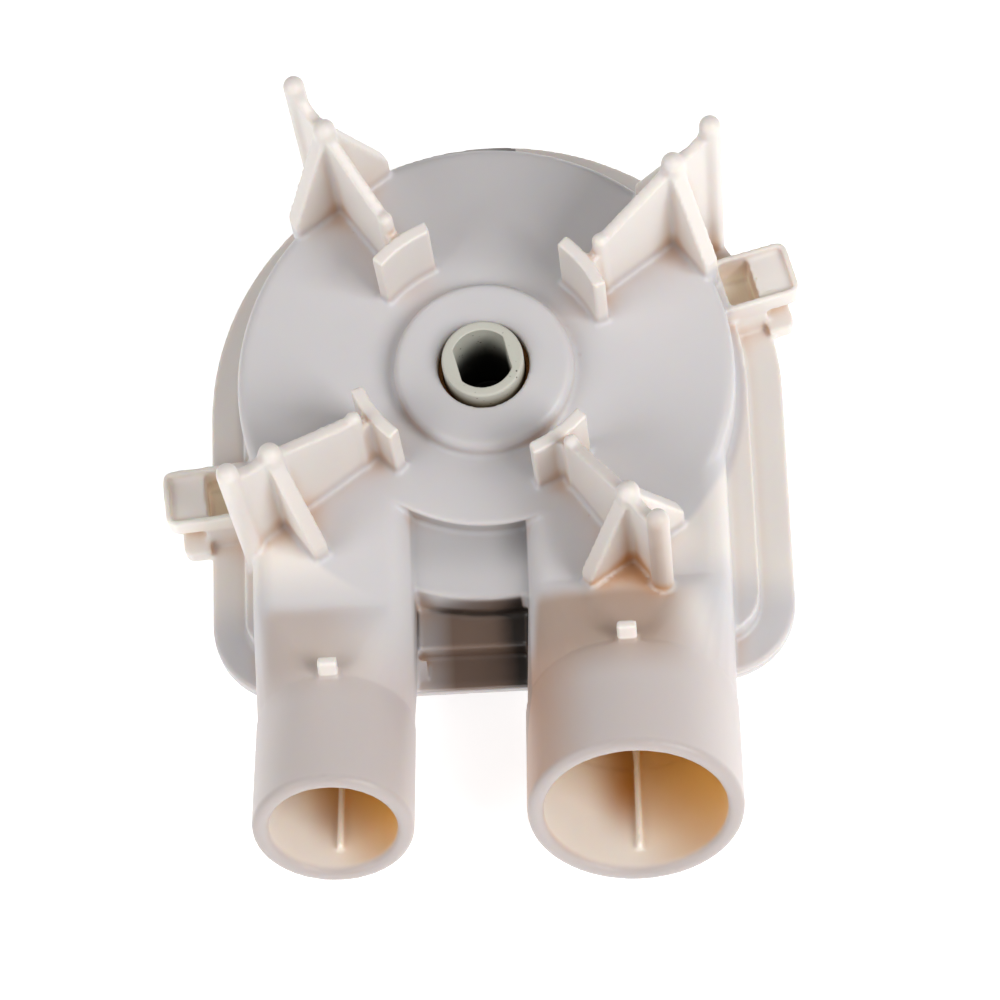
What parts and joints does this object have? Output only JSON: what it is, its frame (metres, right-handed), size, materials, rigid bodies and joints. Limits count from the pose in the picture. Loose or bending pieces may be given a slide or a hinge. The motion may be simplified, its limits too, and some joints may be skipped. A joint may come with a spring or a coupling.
{
  "type": "washer drain pump",
  "caption": "Welded plastic drain pump with two rising hose spigots, four motor locators and a turning vaned rotor with a double-D drive socket.",
  "frame": {"origin": "where the shaft axis meets the rear cover's flat face, which the pump lies on", "axes": "+Z along the shaft axis towards the motor, -Y towards the hose spigots, +X towards the large spigot"},
  "size_m": [0.1184, 0.1457, 0.0738],
  "materials": {
    "cream_plastic": "satin moulded polypropylene",
    "hub_plastic": "filled moulding, fine dark specks",
    "white_plastic": "smooth",
    "bronze": "sintered, oiled",
    "felt": "oiled felt",
    "rubber": "moulded",
    "ceramic": "lapped",
    "carbon": "lapped",
    "brass": "stamped",
    "steel": "stainless"
  },
  "bodies": {
    "housing": {"front_housing": "cream_plastic", "rear_cover": "cream_plastic", "thrust_button": "white_plastic", "shaft_bush": "bronze", "oil_felt": "felt", "seat_cup": "rubber", "ceramic_ring": "ceramic"},
    "rotor": {"drive_hub": "hub_plastic", "impeller": "cream_plastic", "carbon_ring": "carbon", "carbon_holder": "brass", "seal_bellows": "rubber", "bellows_band": "brass", "seal_spring": "steel", "spring_collar": "steel"}
  },
  "joints": [
    {"name": "impeller_spin", "type": "hinge", "parent": "housing", "child": "rotor", "pos_m": [0, 0, 0.02], "axis": [0, 0, 1], "continuous": true}
  ]
}
